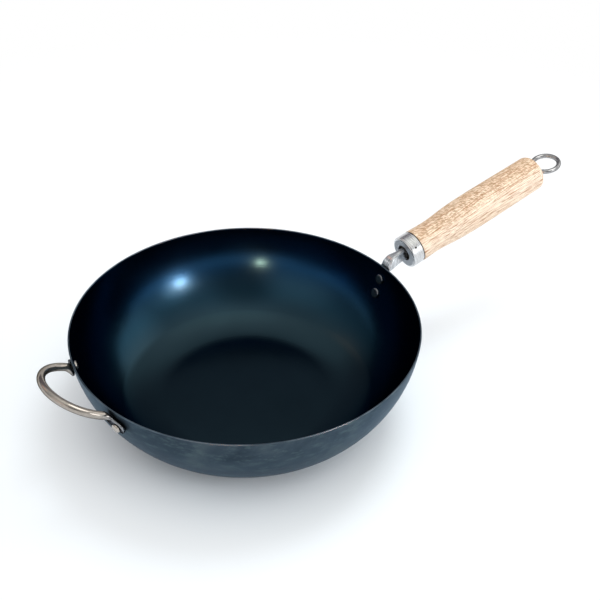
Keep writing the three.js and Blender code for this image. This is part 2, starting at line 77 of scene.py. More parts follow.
RIVET_DROP = 13
RIVET_PITCH = 13.8
RIVET_SHANK_RADIUS = 2.5
RIVET_HEAD_RADIUS = 4.5
RIVET_HEAD_HEIGHT = 1.5
RIVET_SIDE = 0.3
RIVET_DOME_SHARE = 0.8
RIVET_CROWN = (0.2, 0.4, 0.6, 0.8, 1.0)
BRACKET_RIVETS = {"handle_rivet_upper": RIVET_DROP, "handle_rivet_lower": RIVET_DROP + RIVET_PITCH}
HOLE_REACH = 9

FERRULE_RADIUS = 14.5
FERRULE_LENGTH = 11.5
FERRULE_WALL = 1.2
FERRULE_FACE = 1.4
FERRULE_ROUND = 2
FERRULE_EDGE = 0.35
FERRULE_HOLE_RADIUS = 7.2
STAKE_RADIUS = 1.1
STAKE_DEPTH = 0.6
STAKE_MARGIN = 0.01
STAKE_BEARING = math.radians(49)

GRIP_LENGTH = 154.6
GRIP_FRONT_RADIUS = 14.6
GRIP_FRONT_ROUND = 0.8
WAIST_RADIUS = 14.2
WAIST_PLACE = 33
BELLY_RADIUS = 16.4
BELLY_PLACE = 70
GRIP_END_RADIUS = 16
GRIP_END_ROUND = 5.5
BORE_OVERRUN = 1

ROD_RADIUS = 2
EYE_RADIUS = 12
EYE_NECK_BEND = 4
EYE_STANDOFF = 1
EYE_TURN = math.radians(320)
WIRE_ROUND = 0.5
NUT_LENGTH = 8
NUT_WALL = 0.9
NUT_HEIGHT = 10.4

TUBE_RADIUS = 3.1
LOOP_RADIUS = 32.2
LOOP_TILT = math.radians(30)
LOOP_REACH = 29
LOOP_RISE = 12
TAB_THICKNESS = 2.4
TAB_WIDTH = 10.4
TAB_BEARING = math.radians(16.7)
TAB_DROP = 12.4
TAB_DIP = math.radians(12)
TAB_ROOT = 3.6
TAB_TIP = 6.6
LOOP_LEG_BEND = 4.5
PRESS_LENGTH = 0.65
HELPER_SHANK_RADIUS = 2
HELPER_HEAD_RADIUS = 3.6
HELPER_HEAD_HEIGHT = 1.9
HELPER_RIVETS = {"helper_rivet_left": -1, "helper_rivet_right": 1}

# Facets
BOWL_SEGMENTS = 192
TURNED_SEGMENTS = 96
FERRULE_SEGMENTS = 288
RIVET_SEGMENTS = 40
WIRE_SIDES = 20
TUBE_SIDES = 28
BASE_STEPS = 16
KNEE_STEPS = 32
WALL_STEPS = 40
RIM_STEPS = 8
RIVET_DOME_STEPS = 8
STRAP_STEPS = 6
BEND_STEPS = 14
TANG_STEPS = 24
NECK_TOP_STEPS = 5
FOLD_STEPS = 6
FLANGE_STEPS = 4
FOOT_STEPS = 8
ROUND_STEPS = 12
BRACKET_EDGE_STEPS = 3
FERRULE_SIDE_STEPS = 30
FERRULE_EDGE_STEPS = 4
GRIP_STEPS = 60
GRIP_FRONT_STEPS = 5
DARKENED_STEPS = 3
ROD_STEPS = 8
EYE_STEPS = 110
LOOP_STEPS = 36
LEG_STEPS = 20
TAB_STEPS = 4
ROUND_POWER = 2
FLAT_POWER = 4
SHARP_EDGE = math.radians(40)
MERGE_GAP = 0.002
JUST_BELOW = 1e-9

# Material slots of the bowl, the ferrule and the grip
OUTER_SLOT, INNER_SLOT, RIM_SLOT = range(3)
SIDE_SLOT, FACE_SLOT, MARK_SLOT = range(3)
WOOD_SLOT, RECESS_SLOT = range(2)

QUARTER = math.pi / 2
STILL = Matrix.Identity(4)
Y_AXIS = Vector((0, 1, 0))
Z_AXIS = Vector((0, 0, 1))


# Shapes


def arc(centre, radius, start, end, steps):
    """Points (a, b) of an arc from one angle to another, both ends included."""
    angles = [start + (end - start) * i / steps for i in range(steps + 1)]
    return [(centre[0] + radius * math.cos(t), centre[1] + radius * math.sin(t)) for t in angles]


def smoothstep(value):
    value = min(max(value, 0.0), 1.0)
    return value * value * (3 - 2 * value)


def lerp(a, b, share):
    return a + (b - a) * share


def skin(rows, closed_rows=False, closed_columns=True, capped=False, bands=None):
    """A mesh in metres through rows of points in millimetres.

    bands holds the material slot of each strip.
    """
    bm = bmesh.new()
    verts = [[bm.verts.new(Vector(point) * MM) for point in row] for row in rows]
    count = len(rows[0])
    for i in range(len(rows) if closed_rows else len(rows) - 1):
        here, there = verts[i], verts[(i + 1) % len(rows)]
        for j in range(count if closed_columns else count - 1):
            k = (j + 1) % count
            face = bm.faces.new((here[j], here[k], there[k], there[j]))
            face.material_index = bands[i] if bands else 0
    if capped:
        bm.faces.new(verts[0])
        bm.faces.new(verts[-1])
    bmesh.ops.remove_doubles(bm, verts=bm.verts, dist=MERGE_GAP * MM)
    if closed_columns:
        bmesh.ops.recalc_face_normals(bm, faces=bm.faces)
    mesh = bpy.data.meshes.new("skin")
    bm.to_mesh(mesh)
    bm.free()
    smooth(mesh)
    return mesh


def smooth(mesh):
    mesh.shade_smooth()
    mesh.set_sharp_from_angle(angle=SHARP_EDGE)


def turned(profile, segments, along_x=False, **options):
    """A turned mesh about +Z, or about +X, from a profile of (radius, height) pairs."""
    rows = []
    for radius, height in profile:
        ring = []
        for i in range(segments):
            turn = 2 * math.pi * i / segments
            a, b = radius * math.cos(turn), radius * math.sin(turn)
            ring.append((height, a, b) if along_x else (a, b, height))
        rows.append(ring)
    return skin(rows, **options)


def oval(centre, wide, thick, half_width, half_thickness, power, sides):
    """A ring of points round a centre. A power above 2 squares the oval up towards a flat bar."""
    ring = []
    for i in range(sides):
        turn = 2 * math.pi * i / sides
        c, s = math.cos(turn), math.sin(turn)
        a = half_width * math.copysign(abs(c) ** (2 / power), c)
        b = half_thickness * math.copysign(abs(s) ** (2 / power), s)
        ring.append(centre + wide * a + thick * b)
    return ring


def bezier(a, b, c, d, steps):
    """Points of a cubic curve, both ends included."""
    points = []
    for i in range(steps + 1):
        t = i / steps
        u = 1 - t
        points.append(a * u**3 + b * (3 * u * u * t) + c * (3 * u * t * t) + d * t**3)
    return points


def spline(knots, steps):
    """Points (a, b) of a smooth curve through the knots, both ends included."""
    points = []
    spans = len(knots) - 1
    for i in range(steps + 1):
        place = min(i * spans / steps, spans - JUST_BELOW)
        k = int(place)
        t = place - k
        p0, p1, p2, p3 = (knots[min(max(k + o, 0), spans)] for o in (-1, 0, 1, 2))
        point = []
        for a, b, c, d in zip(p0, p1, p2, p3):
            v0, v1 = (c - a) / 2, (d - b) / 2
            cubic = 2 * b - 2 * c + v0 + v1
            square = 3 * c - 3 * b - 2 * v0 - v1
            point.append(cubic * t**3 + square * t**2 + v0 * t + b)
        points.append(tuple(point))
    return points


def cut(mesh, *tools):
    """The mesh with other meshes cut out of it."""
    body = bpy.data.objects.new("body", mesh)
    bpy.context.scene.collection.objects.link(body)
    helpers = []
    for tool in tools:
        helper = bpy.data.objects.new("tool", tool)
        bpy.context.scene.collection.objects.link(helper)
        helpers.append(helper)
        modifier = body.modifiers.new("cut", "BOOLEAN")
        modifier.object = helper
        modifier.solver = "EXACT"
    made = evaluated(body)
    for helper in [body, *helpers]:
        bpy.data.objects.remove(helper)
    smooth(made)
    return made


def evaluated(obj):
    """A copy of an object's mesh with its modifiers applied."""
    bpy.context.view_layer.update()
    depsgraph = bpy.context.evaluated_depsgraph_get()
    return bpy.data.meshes.new_from_object(obj.evaluated_get(depsgraph))


def block(low, high):
    """A box mesh between two corners."""
    (x0, y0, z0), (x1, y1, z1) = low, high
    rows = [[(x, y0, z0), (x, y1, z0), (x, y1, z1), (x, y0, z1)] for x in (x0, x1)]
    return skin(rows, capped=True)


def piece(name, mesh, body, node, finishes, place=None):
    """Adds a piece that rides on a body and stands for a node."""
    mesh.name = name
    for finish in finishes:
        mesh.materials.append(finish)
    if place is not None:
        mesh.transform(place)
    obj = bpy.data.objects.new(name, mesh)
    bpy.context.scene.collection.objects.link(obj)
    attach(obj, body)
    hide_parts(node)
    return obj


def placed(matrix):
    """A matrix in millimetres as one in metres."""
    made = matrix.copy()
    made.translation = matrix.translation * MM
    return made


# Bowl: a flat base, a soft knee and a wall arc. The knee's arc only sets where the wall arc begins.

rim_run = RIM_RADIUS - BASE_RADIUS
knee_rise = PAN_HEIGHT - KNEE_RADIUS
wall_radius = (rim_run**2 + knee_rise**2 - KNEE_RADIUS**2) / (
    2 * (rim_run * math.sin(RIM_ANGLE) - knee_rise * math.cos(RIM_ANGLE) - KNEE_RADIUS)
)
wall_centre = (
    RIM_RADIUS - wall_radius * math.sin(RIM_ANGLE),
    PAN_HEIGHT + wall_radius * math.cos(RIM_ANGLE),
)
knee_centre = (BASE_RADIUS, KNEE_RADIUS)
knee_angle = math.atan2(knee_centre[0] - wall_centre[0], wall_centre[1] - knee_centre[1])


def wall_slope(drop):
    """Slope of the wall a distance below the rim."""
    return RIM_ANGLE - drop / wall_radius


def wall_point(drop, offset):
    """(radius, height) a distance below the rim, moved outwards by an offset."""
    return arc(wall_centre, wall_radius + offset, wall_slope(drop) - QUARTER, 0, 1)[0]


def wall_place(drop, bearing):
    """A place on the outside of the wall: its point, normal, level and upward directions."""
    slope = wall_slope(drop)
    radius, height = wall_point(drop, 0)
    outwards = Vector((math.cos(bearing), math.sin(bearing), 0))
    point = outwards * radius + Z_AXIS * height
    normal = outwards * math.sin(slope) - Z_AXIS * math.cos(slope)
    level = Vector((-math.sin(bearing), math.cos(bearing), 0))
    return point, normal, level, normal.cross(level)


def bowl_skin(offset):
    """Profile of one side of the sheet, from the middle of the base to just below the rim."""
    base = [(KNEE_START * i / BASE_STEPS, -offset) for i in range(BASE_STEPS)]
    start = Vector((KNEE_START, 0))
    end = Vector(arc(wall_centre, wall_radius, knee_angle - QUARTER, 0, 1)[0])
    rising = Vector((math.cos(knee_angle), math.sin(knee_angle)))
    level = Vector((1, 0))
    handles = start + level * KNEE_HANDLES[0], end - rising * KNEE_HANDLES[1]
    line = bezier(start, *handles, end, KNEE_STEPS)
    chords = [(after - before).normalized() for before, after in zip(line, line[1:])]
    between = [(a + b).normalized() for a, b in zip(chords, chords[1:])]
    headings = [level, *between, rising]
    knee = [tuple(point + Vector((h.y, -h.x)) * offset) for point, h in zip(line, headings)]
    top = wall_slope(RIM_ROUND) - QUARTER
    wall = arc(wall_centre, wall_radius + offset, knee_angle - QUARTER, top, WALL_STEPS)
    return base + knee + wall[1:]


def pan_mesh():
    outside = bowl_skin(0)
    inside = bowl_skin(-PAN_SHEET)[::-1]
    middle = Vector(wall_point(RIM_ROUND, -PAN_SHEET / 2))
    across = Vector((math.sin(RIM_ANGLE), -math.cos(RIM_ANGLE)))
    up = Vector((math.cos(RIM_ANGLE), math.sin(RIM_ANGLE)))
    rim = []
    for i in range(1, RIM_STEPS):
        turn = math.pi * i / RIM_STEPS
        aside = across * (PAN_SHEET / 2 * math.cos(turn))
        rim.append(tuple(middle + aside + up * (RIM_ROUND * math.sin(turn))))
    bands = [OUTER_SLOT] * (len(outside) - 1)
    bands += [RIM_SLOT] * (len(rim) + 1)
    bands += [INNER_SLOT] * (len(inside) - 1)
    bowl = turned(outside + rim + inside, BOWL_SEGMENTS, bands=bands)
    far_holes = tab_holes()
    for hole in far_holes:
        hole.transform(helper_turn)
    return cut(bowl, *bracket_holes(), *far_holes)


# Rivets


def rivet_mesh(shank, head, height, stack):
    """A rivet along +Z: a dome below 0, a shank through the stack and a dome above it."""
    side = height * RIVET_SIDE
    crown = height - side
    flat = head - crown
    dome = arc((flat, side), crown, 0, QUARTER * RIVET_DOME_SHARE, RIVET_DOME_STEPS)
    foot = head - side / 2
    above = [(shank, stack), (foot, stack), (head, stack + side / 2)]
    above += [(r, stack + h) for r, h in dome]
    edge, shoulder = above[-1]
    for t in RIVET_CROWN:
        above.append((edge * (1 - t), lerp(shoulder, stack + height, 1 - (1 - t) ** 2)))
    below = [(r, stack - h) for r, h in above][::-1]
    return turned(below + above, RIVET_SEGMENTS)


def rivet_place(drop, bearing, turn):
    """Where a rivet sits: its inner head's face, just inside the wall."""
    point, normal, _, _ = wall_place(drop, bearing)
    matrix = Z_AXIS.rotation_difference(normal).to_matrix().to_4x4()
    matrix.translation = point - normal * (PAN_SHEET + SEAT_GAP)
    return placed(turn @ matrix)


def rivet_hole(shank, drop, bearing):
    """A round tool through everything that a rivet holds, as a mesh in the pan's frame."""
    radius = shank + HOLE_GAP
    ends = [(0, -HOLE_REACH), (radius, -HOLE_REACH), (radius, HOLE_REACH), (0, HOLE_REACH)]
    tool = turned(ends, RIVET_SEGMENTS)
    tool.transform(rivet_place(drop, bearing, STILL))
    return tool


def bracket_holes():
    return [rivet_hole(RIVET_SHANK_RADIUS, drop, 0) for drop in BRACKET_RIVETS.values()]


def tab_holes():
    bearings = [side * TAB_BEARING for side in HELPER_RIVETS.values()]
    return [rivet_hole(HELPER_SHANK_RADIUS, TAB_DROP, bearing) for bearing in bearings]


def rivet_stack(thickness):
    return SEAT_GAP + PAN_SHEET + SEAT_GAP + thickness + SEAT_GAP


# Bracket

handle_front = (RIM_RADIUS + FERRULE_STANDOFF, 0, PAN_HEIGHT + FERRULE_RISE)
handle_place = Matrix.Translation(handle_front) @ Matrix.Rotation(-HANDLE_TILT, 4, "Y")
pan_to_handle = handle_place.inverted()


def in_handle(radius, height):
    """A point of the upright middle plane in the handle's frame, as (x, z)."""
    point = pan_to_handle @ Vector((radius, 0, height))
    return Vector((point.x, point.z))


def neck_profile():
    """The strap's inner face from the wall to the tang's end, as (x, z) in the handle's frame."""
    top = CHANNEL_HEIGHT / 2
    start = in_handle(*wall_point(STRAP_LEAVE, SEAT_GAP))
    slope = wall_slope(STRAP_LEAVE) - STRAP_LEAN - HANDLE_TILT
    along = Vector((math.cos(slope), math.sin(slope)))
    corner = start + along * ((top - start.y) / along.y)
    reach = NECK_BEND * math.tan(slope / 2)
    bend_start = corner - along * reach
    centre = (corner.x + reach, top - NECK_BEND)
    bend = [Vector(p) for p in arc(centre, NECK_BEND, slope + QUARTER, QUARTER, BEND_STEPS)]
    rise = [start.lerp(bend_start, i / STRAP_STEPS) for i in range(STRAP_STEPS)]
    places = [lerp(centre[0], TANG_LENGTH, i / TANG_STEPS) for i in range(1, TANG_STEPS + 1)]
    return rise + bend + [Vector((x, top)) for x in places]


def neck_half_width(x, strap):
    """Half the neck's width, drawn in from the strap to the channel."""
    share = smoothstep((x - strap) / (-CHANNEL_STRAIGHT - strap))
    return lerp(NECK_WIDTH, CHANNEL_WIDTH, share) / 2


def neck_lower_edge(x, strap):
    """Height of the folded edge, which runs out into the strap."""
    share = min(max((x - strap) / -strap, 0), 1)
    return -CHANNEL_HEIGHT / 2 + GUSSET_DROP * (1 - share)


def neck_row(point, strap):
    """One section of the neck, from folded edge to folded edge, in the pan's frame."""
    x, top = point
    half = neck_half_width(x, strap)
    depth = max(top - neck_lower_edge(x, strap), 0)
    fold = min(FOLD_RADIUS, depth, half - FOLD_MARGIN)
    flat = half - fold
    side = [(flat * i / NECK_TOP_STEPS, top) for i in range(NECK_TOP_STEPS + 1)]
    side += arc((flat, top - fold), fold, QUARTER, 0, FOLD_STEPS)[1:]
    shares = [i / FLANGE_STEPS for i in range(1, FLANGE_STEPS + 1)]
    side += [(half, lerp(top - fold, top - depth, share)) for share in shares]
    row = [(-y, z) for y, z in side[:0:-1]] + side
    return [handle_place @ Vector((x, y, z)) for y, z in row]


def foot_row(drop, half, columns):
    """One level of the foot, on the wall, as wide as given."""
    radius, height = wall_point(drop, SEAT_GAP)
    row = []
    for i in range(columns):
        y = half * (2 * i / (columns - 1) - 1)
        row.append(Vector((math.sqrt(radius**2 - y**2), y, height)))
    return row


def bracket_mesh():
    profile = neck_profile()
    strap = profile[0].x
    rows = [neck_row(point, strap) for point in profile]
    columns = len(rows[0])
    lowest = RIVET_DROP + RIVET_PITCH
    foot = []
    for i in range(ROUND_STEPS):
        turn = QUARTER * i / ROUND_STEPS
        half = FOOT_WIDTH / 2 * math.sin(turn)
        foot.append(foot_row(lowest + FOOT_WIDTH / 2 * math.cos(turn), half, columns))
    for i in range(FOOT_STEPS + 1):
        foot.append(foot_row(lerp(lowest, RIVET_DROP, i / FOOT_STEPS), FOOT_WIDTH / 2, columns))
    for i in range(1, FOOT_STEPS):
        half = lerp(FOOT_WIDTH, NECK_WIDTH, smoothstep(i / FOOT_STEPS)) / 2
        foot.append(foot_row(lerp(RIVET_DROP, STRAP_LEAVE, i / FOOT_STEPS), half, columns))
    sheet = bpy.data.objects.new("sheet", skin(foot + rows, closed_columns=False))
    bpy.context.scene.collection.objects.link(sheet)
    solid = sheet.modifiers.new("thickness", "SOLIDIFY")
    solid.thickness = BRACKET_SHEET * MM
    solid.offset = 1
    edge = sheet.modifiers.new("edges", "BEVEL")
    edge.width = BRACKET_EDGE * MM
    edge.segments = BRACKET_EDGE_STEPS
    edge.limit_method = "ANGLE"
    edge.angle_limit = BRACKET_EDGE_ANGLE
    mesh = evaluated(sheet)
    bpy.data.objects.remove(sheet)
    return cut(mesh, *bracket_holes())


# Handle, along +X from the ferrule's front face

bore_radius = ROD_RADIUS + HOLE_GAP
nut_front = TANG_LENGTH + SEAT_GAP
pocket_width = 2 * (bore_radius + NUT_WALL + SEAT_GAP)
pocket_height = max(CHANNEL_HEIGHT, NUT_HEIGHT) + 2 * SEAT_GAP
pocket_depth = nut_front + NUT_LENGTH + SEAT_GAP


def ferrule_mesh():
    bore = FERRULE_RADIUS - FERRULE_WALL
    corner = (FERRULE_RADIUS - FERRULE_ROUND, FERRULE_ROUND)
    lip = (FERRULE_RADIUS - FERRULE_EDGE, FERRULE_LENGTH - FERRULE_EDGE)
    front = [(FERRULE_HOLE_RADIUS, FERRULE_EDGE), (FERRULE_HOLE_RADIUS + FERRULE_EDGE, 0)]
    side = arc(corner, FERRULE_ROUND, -QUARTER, 0, ROUND_STEPS)
    shares = [i / FERRULE_SIDE_STEPS for i in range(1, FERRULE_SIDE_STEPS)]
    side += [(FERRULE_RADIUS, lerp(FERRULE_ROUND, lip[1], share)) for share in shares]
    side += arc(lip, FERRULE_EDGE, 0, QUARTER, FERRULE_EDGE_STEPS)
    hollow = [(bore, FERRULE_LENGTH), (bore, FERRULE_FACE), (FERRULE_HOLE_RADIUS, FERRULE_FACE)]
    bands = [FACE_SLOT] * len(front) + [SIDE_SLOT] * len(side) + [FACE_SLOT] * len(hollow)
    profile = front + side + hollow
    mesh = turned(profile, FERRULE_SEGMENTS, along_x=True, closed_rows=True, bands=bands)
    ball = Vector((FERRULE_LENGTH / 2, -math.sin(STAKE_BEARING), math.cos(STAKE_BEARING)))
    ball.yz *= FERRULE_RADIUS + STAKE_RADIUS - STAKE_DEPTH
    for vertex in mesh.vertices:
        away = vertex.co / MM - ball
        if away.length < STAKE_RADIUS:
            vertex.co = (ball + away.normalized() * STAKE_RADIUS) * MM
    # The stake mark's faces take the dark recess finish: painted shade in the dent
    for polygon in mesh.polygons:
        if (polygon.center / MM - ball).length < STAKE_RADIUS + STAKE_MARGIN:
            polygon.material_index = MARK_SLOT
    return mesh


def grip_mesh():
    spigot = FERRULE_RADIUS - FERRULE_WALL - SEAT_GAP
    front = FERRULE_FACE + SEAT_GAP
    shoulder = FERRULE_LENGTH + SEAT_GAP
    round_start = GRIP_LENGTH - GRIP_END_ROUND
    edge = (GRIP_FRONT_RADIUS - GRIP_FRONT_ROUND, shoulder + GRIP_FRONT_ROUND)
    knots = [
        (GRIP_FRONT_RADIUS, edge[1]),
        (WAIST_RADIUS, WAIST_PLACE),
        (BELLY_RADIUS, BELLY_PLACE),
        (GRIP_END_RADIUS, round_start),
    ]
    end = (GRIP_END_RADIUS - GRIP_END_ROUND, round_start)
    profile = [(0, front), (spigot, front), (spigot, shoulder)]
    # The front faces and the first steps of the front round take the dark recess finish: grime in
    # the joint and painted shade inside the ferrule
    darkened = len(profile) + DARKENED_STEPS
    profile += arc(edge, GRIP_FRONT_ROUND, -QUARTER, 0, GRIP_FRONT_STEPS)
    profile += spline(knots, GRIP_STEPS)[1:]
    profile += arc(end, GRIP_END_ROUND, 0, QUARTER, BEND_STEPS)[1:]
    profile += [(0, GRIP_LENGTH)]
    bands = [RECESS_SLOT] * darkened + [WOOD_SLOT] * (len(profile) - 1 - darkened)
    wood = turned(profile, TURNED_SEGMENTS, along_x=True, bands=bands)
    half_width, half_height = pocket_width / 2, pocket_height / 2
    pocket = block((0, -half_width, -half_height), (pocket_depth, half_width, half_height))
    bore_ends = [(0, NUT_LENGTH + nut_front), (bore_radius, NUT_LENGTH + nut_front)]
    bore_ends += [(bore_radius, GRIP_LENGTH + BORE_OVERRUN), (0, GRIP_LENGTH + BORE_OVERRUN)]
    bore = turned(bore_ends, RIVET_SEGMENTS, along_x=True)
    # The pocket's faces take the dark recess finish: painted shade inside the grip
    for polygon in pocket.polygons:
        polygon.material_index = RECESS_SLOT
    return cut(wood, pocket, bore)


def ring_mesh():
    """The rod from the nut to the grip's end, then aside and round into an open eye."""
    eye_centre = GRIP_LENGTH + EYE_STANDOFF + ROD_RADIUS + EYE_RADIUS
    between = EYE_RADIUS + EYE_NECK_BEND
    bend_place = eye_centre - math.sqrt(between**2 - EYE_NECK_BEND**2)
    join = math.asin(EYE_NECK_BEND / between)
    bend = arc((bend_place, EYE_NECK_BEND), EYE_NECK_BEND, -QUARTER, -join, BEND_STEPS)
    eye_start = math.pi - join
    eye = arc((eye_centre, 0), EYE_RADIUS, eye_start, eye_start - EYE_TURN, EYE_STEPS)
    start = nut_front + SEAT_GAP
    rod = [(lerp(start, bend_place, i / ROD_STEPS), 0) for i in range(ROD_STEPS)]
    line = [Vector((x, y, 0)) for x, y in rod + bend + eye[1:]]
    return wire_mesh(line)


def wire_ring(centre, across, radius):
    return oval(centre, across, Z_AXIS, radius, radius, ROUND_POWER, WIRE_SIDES)


def wire_mesh(line):
    """A round wire of level points, with its end edges rounded."""
    rings = []
    for i, point in enumerate(line):
        along = (line[min(i + 1, len(line) - 1)] - line[max(i - 1, 0)]).normalized()
        across = along.cross(Z_AXIS)
        if i in (0, len(line) - 1):
            back = along * (-WIRE_ROUND if i else WIRE_ROUND)
            whole = wire_ring(point + back, across, ROD_RADIUS)
            face = wire_ring(point, across, ROD_RADIUS - WIRE_ROUND)
            rings += [whole, face] if i else [face, whole]
        else:
            rings.append(wire_ring(point, across, ROD_RADIUS))
    return skin(rings, capped=True)


# Helper handle, in a frame where the loop points along +X

helper_turn = Matrix.Rotation(math.pi, 4, "Z")


def helper_half(side):
    """Stops from the middle of the loop to one tab's tip.

    A stop is a point, the share pressed flat, the share of the width and the wall's normal.
    """
    point, normal, level, up = wall_place(TAB_DROP, side * TAB_BEARING)
    outwards = Vector((math.cos(LOOP_TILT), 0, math.sin(LOOP_TILT)))
    apex = Vector((RIM_RADIUS + LOOP_REACH, 0, PAN_HEIGHT + LOOP_RISE))
    centre = apex - outwards * LOOP_RADIUS
    turns = arc((0, 0), LOOP_RADIUS, QUARTER, 0, LOOP_STEPS)
    loop = [centre + outwards * b + Y_AXIS * (side * a) for a, b in turns]
    tab_line = level * (side * math.cos(TAB_DIP)) - up * math.sin(TAB_DIP)
    middle = point + normal * (SEAT_GAP + TAB_THICKNESS / 2)
    leg = loop[-1]
    root = middle - tab_line * TAB_ROOT
    handles = leg - outwards * LOOP_LEG_BEND, root - tab_line * LOOP_LEG_BEND
    bend = bezier(leg, *handles, root, LEG_STEPS)
    pressed = LEG_STEPS * PRESS_LENGTH
    stops = [(p, 0, 1, normal) for p in loop]
    stops += [(p, smoothstep(i / pressed), 1, normal) for i, p in enumerate(bend) if i]
    tip_start = TAB_TIP - TAB_WIDTH / 2
    tip = middle + tab_line * tip_start
    stops += [(root.lerp(tip, i / TAB_STEPS), 1, 1, normal) for i in range(1, TAB_STEPS + 1)]
    for i in range(1, ROUND_STEPS):
        turn = QUARTER * i / ROUND_STEPS
        along = tip_start + TAB_WIDTH / 2 * math.sin(turn)
        stops.append((middle + tab_line * along, 1, math.cos(turn), normal))
    return stops


def helper_mesh():
    stops = helper_half(-1)[::-1] + helper_half(1)[1:]
    rings = []
    for i, (point, flat, width, normal) in enumerate(stops):
        along = (stops[min(i + 1, len(stops) - 1)][0] - stops[max(i - 1, 0)][0]).normalized()
        wide = along.cross(normal).normalized()
        thick = along.cross(wide)
        half_width = lerp(TUBE_RADIUS, TAB_WIDTH / 2, flat) * width
        half_thickness = lerp(TUBE_RADIUS, TAB_THICKNESS / 2, flat)
        power = lerp(ROUND_POWER, FLAT_POWER, flat)
        rings.append(oval(point, wide, thick, half_width, half_thickness, power, TUBE_SIDES))
    return cut(skin(rings, capped=True), *tab_holes())


# Materials. Places are in metres, a stop is (place, colour) or (place, share), a relief is its
# depth in millimetres and its strength, and a glance is a metal's colour at grazing angles.

BLACK = (0, 0, 0, 1)
WHITE = (1, 1, 1, 1)

# The bowl's inside, by height, its outside and its rim
BLUED_STOPS = [
    (0.007, (0.0262, 0.0515, 0.0670)),
    (0.014, (0.0221, 0.0515, 0.0747)),
    (0.022, (0.0163, 0.0515, 0.0829)),
    (0.031, (0.0150, 0.0499, 0.0880)),
    (0.042, (0.0090, 0.0420, 0.0960)),
]
BLUED_GLANCE = (0.20, 0.42, 0.66, 1)
BLUED_CLOUDS = [(0.3, 0.0), (0.7, 0.16)]
BLUED_ROUGHNESS = [(0.3, 0.18), (0.7, 0.225)]
BLUED_RELIEF = (0.035, 0.7)
SLATE_STOPS = [
    (0.3, (0.020, 0.032, 0.046)),
    (0.5, (0.044, 0.066, 0.088)),
    (0.7, (0.078, 0.112, 0.130)),
]
SLATE_GLANCE = (0.7, 0.8, 0.9, 1)
SLATE_ROUGHNESS = [(0.3, 0.36), (0.7, 0.5)]
SLATE_LINES = (0.05, 0.3)
SLATE_GRAIN = (0.04, 0.4)
SCALE_STRETCH = (1.0, 1.0, 2.4)
SCALE_STOPS = [(0.5, 0.0), (0.66, 0.6)]
SCALE_COLOUR = (0.092, 0.140, 0.150, 1)
RUB_STOPS = [(0.35, (0.05, 0.08, 0.11)), (0.7, (0.14, 0.19, 0.235))]
RUB_ROUGHNESS = [(0.3, 0.42), (0.7, 0.3)]

# Painted shadow on the outside above the tabs: the rise in millimetres and the turn in radians from
# a tab's rivet
TAB_SHADOW_STOPS = [(0.003, 0.85), (0.0085, 0.0)]
TAB_SHADOW_COLOUR = (0.004, 0.005, 0.007, 1)
TAB_SHADOW_PLACES = [(6.0, -0.05), (6.0, 0.0), (5.0, 0.05)]

# Bright steel, with the shares of its roughness on and between its lines, and painted shade on the
# loop's tabs
STEEL_METALLIC = 0.95
STEEL_RELIEF = (0.03, 0.4)
LINE_ROUGHNESS = (0.8, 1.2)
SMEAR_SHARE = 0.25
TAB_SHADE_STOPS = [(0.008, 1.0), (0.014, 0.0)]
TAB_SHADE_COLOUR = (0.27, 0.28, 0.30, 1)

# Oak, with its pith below the grip
PITH_PLACE = (0, 0.016, 0.058)
PITH_LEAN = (0, 0.045, 0.03)
RINGS_PER_METRE = 780.0
SWAY_STRETCH = (14.0, 60.0, 60.0)
SWAY_REACH = 0.0052
EARLY_STOPS = [(0.0, 1.0), (0.28, 0.55), (0.5, 0.0), (0.92, 0.0), (1.0, 1.0)]
EARLY_SHARE = 0.42
EARLY_COLOUR = (0.56, 0.31, 0.17, 1)
PALE_STRETCH = (9.0, 70.0, 70.0)
PALE_STOPS = [(0.3, (0.87, 0.705, 0.53)), (0.7, (0.965, 0.815, 0.67))]
FIBRE_STRETCH = (50.0, 1900.0, 1900.0)
FIBRE_STOPS = [(0.48, 0.0), (0.61, 0.92)]
FIBRE_COLOUR = (0.42, 0.205, 0.105, 1)
FIBRE_DEPTH = 0.3
UPPER_SIDE = (0, 0.5, 0.87)
UPPER_STOPS = [(0.0, 0.0), (0.011, 1.0)]
# Painted shade: the grip darkens towards its upper side
UPPER_SHADE_STOPS = [(0.007, 0.0), (0.016, 0.3)]
UPPER_SHADE_COLOUR = (0.50, 0.33, 0.19, 1)
# Oak's ray flecks; kept to the upper side, they also darken it as painted shade
FLECK_AXES = [(240.0, -157.0, 90.0), (-590.0, -690.0, 396.0), (0.0, 200.0, 348.0)]
FLECK_STOPS = [(0.48, 0.0), (0.59, 0.85)]
FLECK_COLOUR = (0.34, 0.195, 0.09, 1)
PORE_STRETCH = (130.0, 1500.0, 1500.0)
PORE_STOPS = [(0.58, 0.0), (0.68, 1.0)]
PORE_COLOUR = (0.36, 0.18, 0.09, 1)
PORES_IN_LATE_WOOD = 0.35
PORE_LIMIT = 0.75
OAK_SPECULAR = 0.3
OAK_ROUGHNESS = [(0.3, 0.5), (0.7, 0.66)]
OAK_RELIEF = (0.12, 0.5)

# Grime in the joint by the ferrule, and painted shade in the grip's pocket and the stake mark
GRIME_AND_SHADE_STOPS = [(0.4, (0.004, 0.003, 0.002)), (0.75, (0.045, 0.026, 0.012))]
GRIME_AND_SHADE_ROUGHNESS = 0.85

# The tabs' rivets, round which the loop's steel gets painted shade
tab_points = [wall_place(TAB_DROP, math.pi + side * TAB_BEARING)[0] for side in (-1, 1)]
# Places of the painted shadow on the wall above each tab
tab_shadows = [
    wall_place(TAB_DROP - rise, math.pi + side * (TAB_BEARING + turn))[0]
    for side in (-1, 1)
    for rise, turn in TAB_SHADOW_PLACES
]


def feed(tree, node, inputs):
    """Sets a node's inputs. An input is a constant or another node's output."""
    for key, value in inputs.items():
        if isinstance(value, bpy.types.NodeSocket):
            tree.links.new(value, node.inputs[key])
        else:
            node.inputs[key].default_value = value


